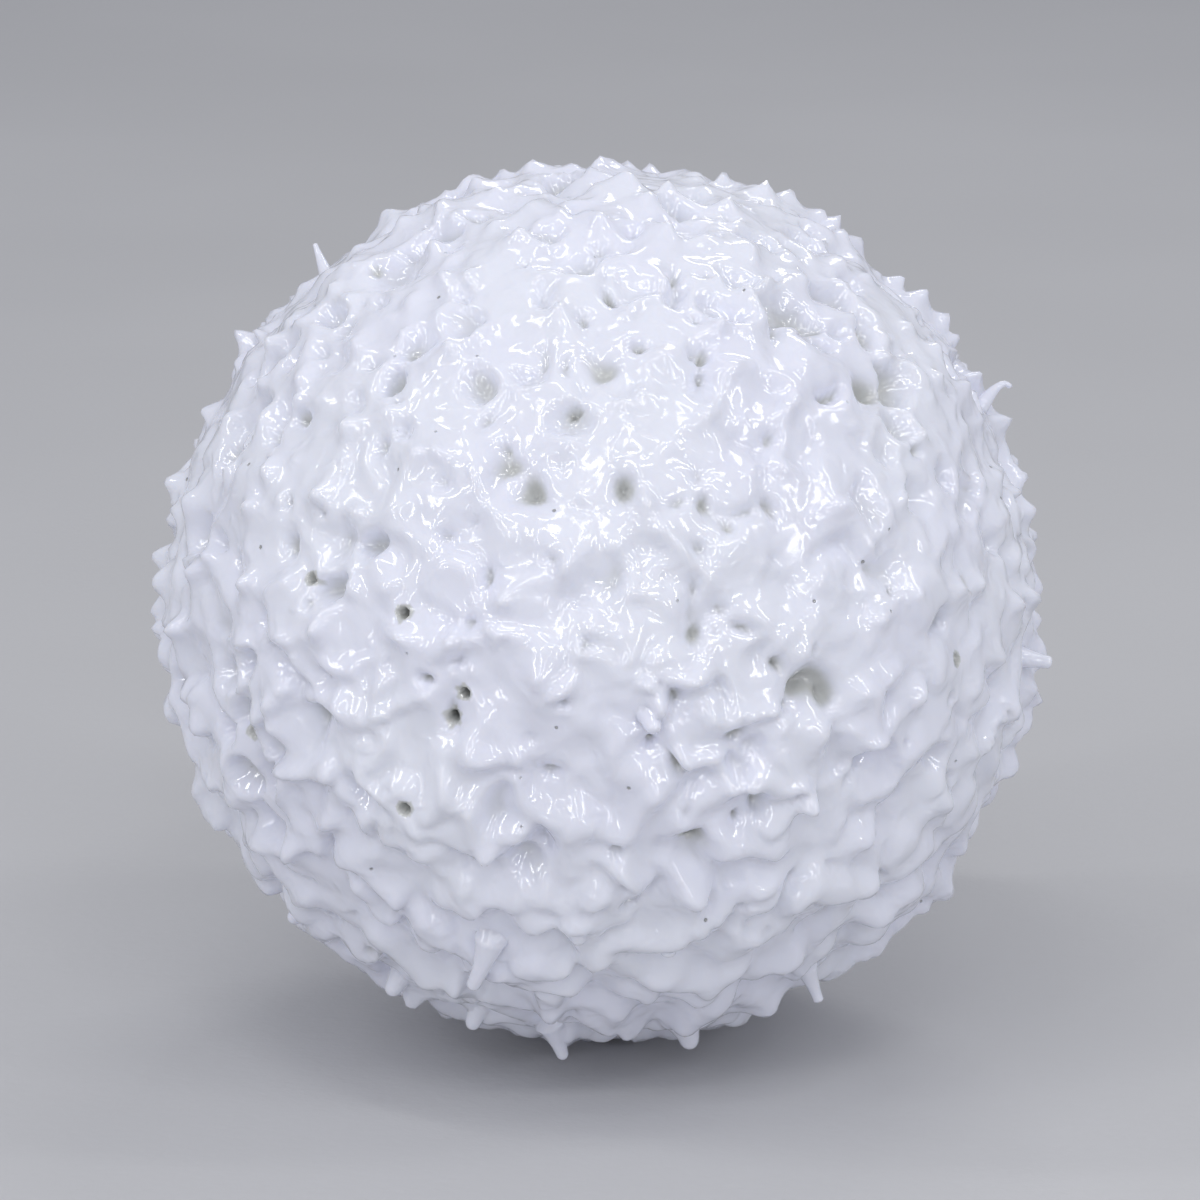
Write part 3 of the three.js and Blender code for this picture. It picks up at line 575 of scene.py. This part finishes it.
def geodesic(segments):
    """Unit directions and triangles of an icosahedron whose faces are divided evenly."""
    golden = (1 + math.sqrt(5)) / 2
    corners = np.array([
        [-1, golden, 0], [1, golden, 0], [-1, -golden, 0], [1, -golden, 0],
        [0, -1, golden], [0, 1, golden], [0, -1, -golden], [0, 1, -golden],
        [golden, 0, -1], [golden, 0, 1], [-golden, 0, -1], [-golden, 0, 1],
    ])
    faces = [
        (0, 11, 5), (0, 5, 1), (0, 1, 7), (0, 7, 10), (0, 10, 11),
        (1, 5, 9), (5, 11, 4), (11, 10, 2), (10, 7, 6), (7, 1, 8),
        (3, 9, 4), (3, 4, 2), (3, 2, 6), (3, 6, 8), (3, 8, 9),
        (4, 9, 5), (2, 4, 11), (6, 2, 10), (8, 6, 7), (9, 8, 1),
    ]
    grid = [(i, j) for i in range(segments + 1) for j in range(segments + 1 - i)]
    number = {cell: index for index, cell in enumerate(grid)}
    weights = np.array([[segments - i - j, i, j] for i, j in grid]) / segments
    patch = [(number[i, j], number[i + 1, j], number[i, j + 1]) for i, j in grid if i + j < segments]
    patch += [
        (number[i + 1, j], number[i + 1, j + 1], number[i, j + 1]) for i, j in grid if i + j < segments - 1
    ]
    patch = np.array(patch)
    points = np.vstack([weights @ corners[list(face)] for face in faces])
    triangles = np.vstack([patch + index * len(grid) for index in range(len(faces))])
    keys = np.round(points * POINT_KEYS).astype(np.int64)
    unused, first, same = np.unique(keys, axis=0, return_index=True, return_inverse=True)
    points = points[first]
    return points / np.linalg.norm(points, axis=1, keepdims=True), same.reshape(-1)[triangles]


def mesh_object(name, points, triangles):
    mesh = bpy.data.meshes.new(name)
    mesh.from_pydata((points * MM).tolist(), [], triangles.tolist())
    mesh.shade_smooth()
    made = bpy.data.objects.new(name, mesh)
    bpy.context.scene.collection.objects.link(made)
    return made


def mark_painted_shade(piece, values):
    """Says how grey the skin's material is painted as shade at each point: 0 where it is white, 1 where
    quite grey.
    """
    layer = piece.data.attributes.new("hollow", "FLOAT", "POINT")
    layer.data.foreach_set("value", values)


def bent(stops, part):
    """A point a share of the way along a smooth bend through three stops."""
    first, middle, last = stops
    control = 2 * middle - (first + last) / 2
    return first * (1 - part) ** 2 + control * 2 * part * (1 - part) + last * part**2


def finger(stops):
    """Points and triangles of a bent, tapered rod with a round end."""
    stops = np.array(stops, dtype=float)
    places = [on_face(*stop[:3]) * FACE_RADIUS for stop in stops]
    radii = stops[:, 3]
    tip = 1 - radii[2] / np.linalg.norm(places[2] - places[0])
    rings = [(tip * ring / FINGER_RINGS, 1) for ring in range(FINGER_RINGS)]
    for ring in range(TIP_RINGS):
        angle = math.pi / 2 * ring / TIP_RINGS
        rings.append((tip + (1 - tip) * math.sin(angle), math.cos(angle)))
    points = [places[0] * FINGER_ROOT]
    for part, rounding in rings:
        middle = bent(places, part)
        along = unit(bent(places, part + BEND_STEP) - bent(places, part - BEND_STEP))
        side = unit(np.cross(along, FACE_OUT + FACE_RIGHT * FINGER_SKEW))
        other = np.cross(along, side)
        for corner in range(FINGER_SIDES):
            angle = 2 * math.pi * corner / FINGER_SIDES
            spoke = side * math.cos(angle) + other * math.sin(angle)
            points.append(middle + spoke * bent(radii, part) * rounding)
    points.append(places[2])
    last = len(points) - 1
    triangles = []
    for corner in range(FINGER_SIDES):
        after = (corner + 1) % FINGER_SIDES
        triangles.append((0, 1 + after, 1 + corner))
        for ring in range(len(rings) - 1):
            row = 1 + ring * FINGER_SIDES
            up = row + FINGER_SIDES
            triangles.append((row + corner, row + after, up + after))
            triangles.append((row + corner, up + after, up + corner))
        row = 1 + (len(rings) - 1) * FINGER_SIDES
        triangles.append((row + corner, row + after, last))
    return np.array(points), np.array(triangles)


def drill(direction):
    """Points and triangles of a long cone, wide end out, through the skin towards the centre."""
    side = unit(np.cross(direction, FACE_UP + FACE_RIGHT * PINHOLE_SKEW))
    other = np.cross(direction, side)
    points = []
    for reach, radius in ((DRILL_START, PINHOLE_END_RADIUS), (DRILL_END, PINHOLE_MOUTH_RADIUS)):
        for corner in range(PINHOLE_SIDES):
            angle = 2 * math.pi * corner / PINHOLE_SIDES
            points.append(direction * reach + radius * (side * math.cos(angle) + other * math.sin(angle)))
    points += [direction * DRILL_START, direction * DRILL_END]
    triangles = []
    for corner in range(PINHOLE_SIDES):
        after = (corner + 1) % PINHOLE_SIDES
        triangles.append((corner, after, after + PINHOLE_SIDES))
        triangles.append((corner, after + PINHOLE_SIDES, corner + PINHOLE_SIDES))
        triangles.append((after, corner, len(points) - 2))
        triangles.append((corner + PINHOLE_SIDES, after + PINHOLE_SIDES, len(points) - 1))
    return np.array(points), np.array(triangles)


def joined(name, parts):
    """One mesh of several closed parts that don't touch."""
    points = np.vstack([part[0] for part in parts])
    starts = np.cumsum([0] + [len(part[0]) for part in parts[:-1]])
    triangles = np.vstack([part[1] + start for part, start in zip(parts, starts)])
    return mesh_object(name, points, triangles)


def combine(piece, tool, operation):
    """Adds or cuts the tool, and deletes it."""
    modifier = piece.modifiers.new("combine", "BOOLEAN")
    modifier.operation = operation
    modifier.solver = "MANIFOLD"
    modifier.object = tool
    graph = bpy.context.evaluated_depsgraph_get()
    piece.data = bpy.data.meshes.new_from_object(
        piece.evaluated_get(graph), preserve_all_data_layers=True, depsgraph=graph
    )
    piece.modifiers.clear()
    piece.data.materials.clear()
    bpy.data.objects.remove(tool)


def pinhole_directions():
    dice = Dice(PINHOLE_SEED)
    directions = [face_direction(across, up) for across, up in FACE_PINHOLES]
    for index in range(BACK_PINHOLES):
        direction = jittered(dice, spiral_direction(index, BACK_PINHOLES), PINHOLE_JITTER)
        if direction @ FACE_OUT < 0:
            directions.append(direction)
    return directions


def shade_pinholes(piece):
    """Paints shade on the walls of the pinholes, as grey as the bottoms of the bowls."""
    points = np.array([vertex.co for vertex in piece.data.vertices]) / MM
    layer = piece.data.attributes["hollow"]
    values = np.empty(len(points))
    layer.data.foreach_get("value", values)
    for direction in pinhole_directions():
        along = points @ direction
        aside = np.linalg.norm(points - along[:, None] * direction, axis=1)
        values[(along > 0) & (aside < PINHOLE_SHADE_RADIUS)] = 1
    layer.data.foreach_set("value", values)


def rough_skin():
    """The skin with its whole relief, its fingers, its pinholes and the space for the core."""
    bowls = placed_bowls()
    tips = placed_tips()
    placed = [bowl.centre for bowl in bowls]
    tips += scattered_tips(placed + [direction * BALL_RADIUS for direction, height in tips])
    hollows = scattered_hollows(placed)
    bowls += scattered_pits(placed)
    webs = webs_between(tips, np.array(placed)) + placed_ridges()
    directions, triangles = geodesic(SKIN_SEGMENTS)
    points = swirled(directions * BALL_RADIUS)
    heights, sunk = relief(points, webs, hollows, bowls)
    heights += rippled(points)
    made = mesh_object("rough_skin", leaned(directions, heights), triangles)
    # painted shade: the deeper a point lies in a bowl or hollow, the greyer it is painted
    mark_painted_shade(made, np.clip(sunk / HOLLOW_SHADE_DEPTH, 0, 1))
    combine(made, joined("fingers", [finger(stops) for stops in FINGERS]), "UNION")
    directions, triangles = geodesic(PLAIN_SEGMENTS)
    inside = mesh_object("inside", directions * (CORE_RADIUS + FIT_GAP), triangles)
    # painted shade: the wall of the space for the core is painted fully grey
    mark_painted_shade(inside, np.ones(len(directions)))
    combine(inside, joined("pinholes", [drill(direction) for direction in pinhole_directions()]), "UNION")
    combine(made, inside, "DIFFERENCE")
    shade_pinholes(made)
    made.data.shade_smooth()
    return made


# Materials


def node_material(name):
    material = bpy.data.materials.new(name)
    material.use_nodes = True
    return material, material.node_tree.nodes, material.node_tree.links


def noise(nodes, links, place, scale, detail, kind="FBM", distortion=0.0):
    texture = nodes.new("ShaderNodeTexNoise")
    texture.noise_type = kind
    texture.inputs["Scale"].default_value = scale
    texture.inputs["Detail"].default_value = detail
    texture.inputs["Distortion"].default_value = distortion
    links.new(place, texture.inputs["Vector"])
    return texture.outputs["Fac"]


def ranged(nodes, links, value, span, result=(0, 1)):
    """The value taken from one span to the other, and held at its ends."""
    spread = nodes.new("ShaderNodeMapRange")
    spread.interpolation_type = "SMOOTHSTEP"
    spread.inputs["From Min"].default_value = span[0]
    spread.inputs["From Max"].default_value = span[1]
    spread.inputs["To Min"].default_value = result[0]
    spread.inputs["To Max"].default_value = result[1]
    links.new(value, spread.inputs["Value"])
    return spread.outputs["Result"]


def mottled(nodes, links, place, mottle, result=(0, 1)):
    """Noise of the scale and detail, with the span of it that is used taken to the result's."""
    scale, detail, span = mottle
    return ranged(nodes, links, noise(nodes, links, place, scale, detail), span, result)


def multiplied(nodes, links, first, second):
    product = nodes.new("ShaderNodeMath")
    product.operation = "MULTIPLY"
    links.new(first, product.inputs[0])
    links.new(second, product.inputs[1])
    return product.outputs["Value"]


def mixed(nodes, links, share, first, second):
    """Between two colours, each of them a fixed colour or a socket."""
    mix = nodes.new("ShaderNodeMix")
    mix.data_type = "RGBA"
    links.new(share, mix.inputs["Factor"])
    for name, colour in (("A", first), ("B", second)):
        if isinstance(colour, tuple):
            mix.inputs[name].default_value = colour
        else:
            links.new(colour, mix.inputs[name])
    return mix.outputs["Result"]


def bumped(nodes, links, height, distance, onto=None):
    bump = nodes.new("ShaderNodeBump")
    bump.inputs["Strength"].default_value = 1
    bump.inputs["Distance"].default_value = distance
    links.new(height, bump.inputs["Height"])
    if onto:
        links.new(onto, bump.inputs["Normal"])
    return bump.outputs["Normal"]


def attribute(nodes, name):
    reader = nodes.new("ShaderNodeAttribute")
    reader.attribute_name = name
    return reader.outputs["Fac"]


def pricks(nodes, links, place):
    """Burst air bubbles, finer than the mesh: 1 in the middle of each, 0 between them, where the skin is
    dented and gets painted shade.
    """
    cells = nodes.new("ShaderNodeTexVoronoi")
    cells.inputs["Scale"].default_value = PRICK_SCALE
    links.new(place, cells.inputs["Vector"])
    spot = ranged(nodes, links, cells.outputs["Distance"], PRICK_SPAN, (1, 0))
    split = nodes.new("ShaderNodeSeparateColor")
    links.new(cells.outputs["Color"], split.inputs["Color"])
    some = ranged(nodes, links, split.outputs["Red"], PRICK_RARITY)
    return multiplied(nodes, links, spot, some)


def skin_material():
    """Glossy, slightly blue white, with shade painted grey into the hollows, and creases and gloss that
    vary.
    """
    material, nodes, links = node_material("glossy_white_resin")
    shader = nodes["Principled BSDF"]
    place = nodes.new("ShaderNodeTexCoord").outputs["Object"]
    clouds = mottled(nodes, links, place, SKIN_CLOUDS)
    white = mixed(nodes, links, clouds, *SKIN_WHITES)
    # painted shade, greyer where the hollow attribute is higher
    depth = ranged(nodes, links, attribute(nodes, "hollow"), HOLLOW_SHADE_SPAN)
    shade_painted = mixed(nodes, links, depth, white, HOLLOW_SHADE_GREY)
    prick = pricks(nodes, links, place)
    # painted shade: the pricks are painted dark grey
    links.new(mixed(nodes, links, prick, shade_painted, PRICK_SHADE_GREY), shader.inputs["Base Color"])
    links.new(mottled(nodes, links, place, SKIN_SMEARS, SKIN_ROUGHNESS), shader.inputs["Roughness"])
    creases = noise(
        nodes, links, place, CREASE_SCALE, CREASE_DETAIL, "RIDGED_MULTIFRACTAL", CREASE_DISTORTION
    )
    creased = bumped(nodes, links, creases, CREASE_BUMP)
    unpricked = ranged(nodes, links, prick, (0, 1), (1, 0))
    links.new(bumped(nodes, links, unpricked, PRICK_BUMP, creased), shader.inputs["Normal"])
    shader.inputs["IOR"].default_value = SKIN_IOR
    shader.inputs["Subsurface Weight"].default_value = SKIN_SCATTER
    shader.inputs["Subsurface Radius"].default_value = SCATTER_COLOUR
    shader.inputs["Subsurface Scale"].default_value = SCATTER_REACH
    return material


def matt_material(name, greys, mottle, roughness, grain):
    """Mottled in two greys, rougher where it is paler, with a fine grain."""
    material, nodes, links = node_material(name)
    shader = nodes["Principled BSDF"]
    place = nodes.new("ShaderNodeTexCoord").outputs["Object"]
    paler = mottled(nodes, links, place, mottle)
    links.new(mixed(nodes, links, paler, *greys), shader.inputs["Base Color"])
    links.new(ranged(nodes, links, paler, (0, 1), roughness), shader.inputs["Roughness"])
    scale, detail, bump = grain
    grains = noise(nodes, links, place, scale, detail)
    links.new(bumped(nodes, links, grains, bump), shader.inputs["Normal"])
    return material


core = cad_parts["core_ball"]
core.data.materials.clear()
core.data.materials.append(
    matt_material("matt_grey_resin", CORE_GREYS, CORE_MOTTLE, CORE_ROUGHNESS, CORE_GRAIN)
)

skin = rough_skin()
skin.data.materials.append(skin_material())
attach(skin, "root")
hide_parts("cast_skin")

# Stage, light and camera

floor_level = min(vertex.co.z for vertex in skin.data.vertices)

bpy.ops.mesh.primitive_plane_add(size=FLOOR_SIZE, location=(0, 0, floor_level))
floor = bpy.context.object
floor.name = "floor"
floor.data.materials.append(
    matt_material("pale_paper", PAPER_GREYS, PAPER_CLOUDS, PAPER_ROUGHNESS, PAPER_GRAIN)
)

world = bpy.data.worlds.new("studio")
bpy.context.scene.world = world
world.use_nodes = True
world.node_tree.nodes["Background"].inputs["Color"].default_value = STUDIO_COLOUR
world.node_tree.nodes["Background"].inputs["Strength"].default_value = STUDIO_STRENGTH


def softbox(name, azimuth, elevation, width, height):
    """An oblong light that faces the ball and that the camera doesn't see."""
    azimuth = math.radians(azimuth)
    elevation = math.radians(elevation)
    data = bpy.data.lights.new(name, "AREA")
    data.shape = "RECTANGLE"
    data.size = width
    data.size_y = height
    data.energy = SOFTBOX_RADIANCE * math.pi * width * height
    light = bpy.data.objects.new(name, data)
    bpy.context.scene.collection.objects.link(light)
    light.location = (
        SOFTBOX_DISTANCE * math.cos(elevation) * math.sin(azimuth),
        -SOFTBOX_DISTANCE * math.cos(elevation) * math.cos(azimuth),
        SOFTBOX_DISTANCE * math.sin(elevation),
    )
    light.rotation_euler = (math.pi / 2 - elevation, 0, azimuth)
    light.visible_camera = False


for place in SOFTBOXES:
    softbox(*place)

camera_data = bpy.data.cameras.new("camera")
camera_data.lens = LENS
camera_data.sensor_width = SENSOR_WIDTH
camera = bpy.data.objects.new("camera", camera_data)
bpy.context.scene.collection.objects.link(camera)
camera_distance = EYE * BALL_RADIUS * MM
camera.location = FACE_OUT * camera_distance
camera.rotation_euler = (math.pi / 2 - FACE_TILT, 0, 0)
bpy.context.scene.camera = camera
bpy.context.scene.view_settings.view_transform = "Standard"
